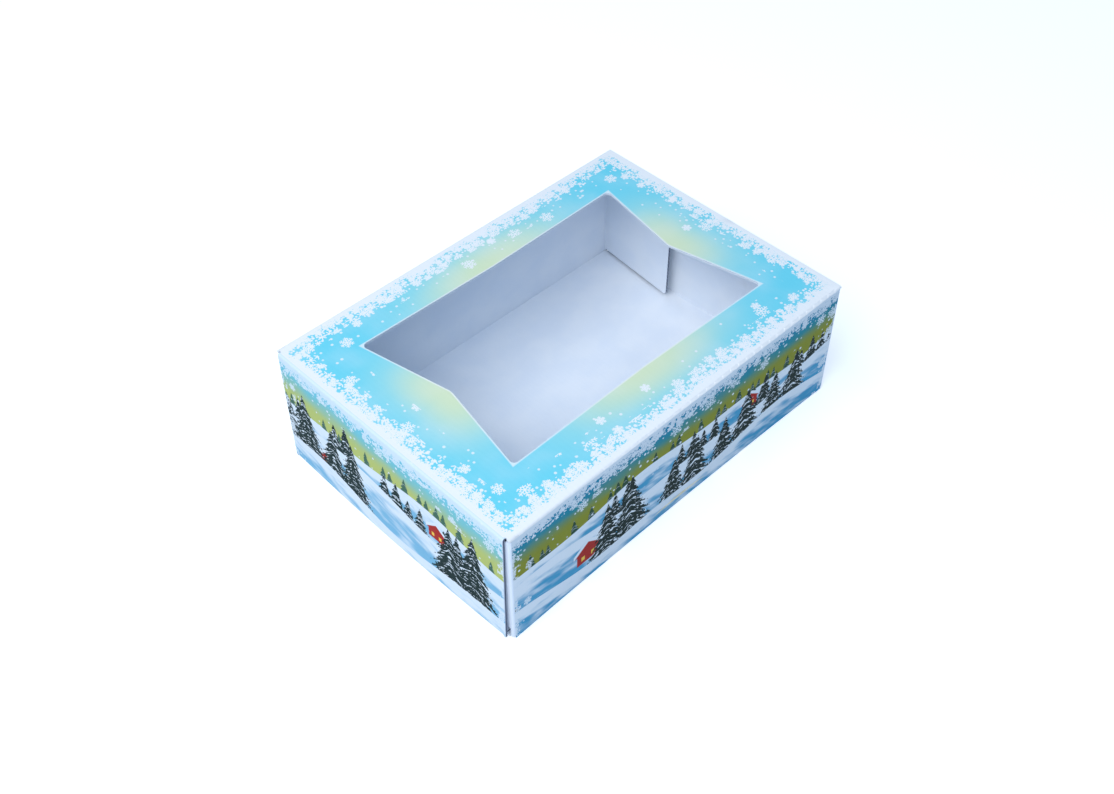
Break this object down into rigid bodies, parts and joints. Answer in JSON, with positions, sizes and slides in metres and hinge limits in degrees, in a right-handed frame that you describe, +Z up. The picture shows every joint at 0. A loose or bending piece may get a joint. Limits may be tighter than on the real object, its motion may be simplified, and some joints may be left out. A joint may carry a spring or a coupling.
{
  "type": "window sweet box",
  "caption": "Printed fluted-board box for sweets with a waisted open window in its top, tucked end closures and folding dust flaps.",
  "frame": {"origin": "centre of the base of the folded sleeve, on the surface that the box stands on", "axes": "+X along the length, towards the end whose closure stands on the bottom; +Y across, away from the glued seam; +Z up"},
  "size_m": [0.2813, 0.197, 0.088],
  "materials": {
    "printed_top": "satin print",
    "printed_walls": "satin print",
    "printed_ends": "satin print",
    "plain_board": "matt white liner",
    "glue": "dried glue"
  },
  "bodies": {
    "sleeve": {"top_panel": "printed_top", "front_wall": "printed_walls", "back_wall": "printed_walls", "bottom_panel": "plain_board", "glue_flap": "plain_board", "seam_glue": "glue"},
    "left_closure": {"left_closure": "printed_ends"},
    "left_tuck_flap": {"left_tuck_flap": "plain_board"},
    "left_front_dust_flap": {"left_front_dust_flap": "plain_board"},
    "left_back_dust_flap": {"left_back_dust_flap": "plain_board"},
    "right_closure": {"right_closure": "printed_ends"},
    "right_tuck_flap": {"right_tuck_flap": "plain_board"},
    "right_front_dust_flap": {"right_front_dust_flap": "plain_board"},
    "right_back_dust_flap": {"right_back_dust_flap": "plain_board"}
  },
  "joints": [
    {"name": "left_closure_fold", "type": "hinge", "parent": "sleeve", "child": "left_closure", "pos_m": [-0.1385, 0, 0.0865], "axis": [0, 1, 0], "range_deg": [0, 110]},
    {"name": "left_tuck_fold", "type": "hinge", "parent": "left_closure", "child": "left_tuck_flap", "pos_m": [-0.13981, 0, 0.0033], "axis": [0, 1, 0], "range_deg": [0, 27.5]},
    {"name": "right_closure_fold", "type": "hinge", "parent": "sleeve", "child": "right_closure", "pos_m": [0.1385, 0, 0.0015], "axis": [0, 1, 0], "range_deg": [0, 90]},
    {"name": "right_tuck_fold", "type": "hinge", "parent": "right_closure", "child": "right_tuck_flap", "pos_m": [0.1385, 0, 0.0847], "axis": [0, 1, 0], "range_deg": [0, 22.5]},
    {"name": "left_front_dust_fold", "type": "hinge", "parent": "sleeve", "child": "left_front_dust_flap", "pos_m": [-0.1367, -0.097, 0.044], "axis": [0, 0, -1], "range_deg": [0, 77.5]},
    {"name": "left_back_dust_fold", "type": "hinge", "parent": "sleeve", "child": "left_back_dust_flap", "pos_m": [-0.1367, 0.097, 0.044], "axis": [0, 0, 1], "range_deg": [0, 82]},
    {"name": "right_front_dust_fold", "type": "hinge", "parent": "sleeve", "child": "right_front_dust_flap", "pos_m": [0.1367, -0.097, 0.044], "axis": [0, 0, 1], "range_deg": [0, 78]},
    {"name": "right_back_dust_fold", "type": "hinge", "parent": "sleeve", "child": "right_back_dust_flap", "pos_m": [0.1367, 0.097, 0.044], "axis": [0, 0, -1], "range_deg": [0, 79.5]}
  ],
  "couplings": [
    {"joint": "left_tuck_fold", "follows": "left_closure_fold", "ratio": 0.25},
    {"joint": "right_tuck_fold", "follows": "right_closure_fold", "ratio": 0.25}
  ]
}
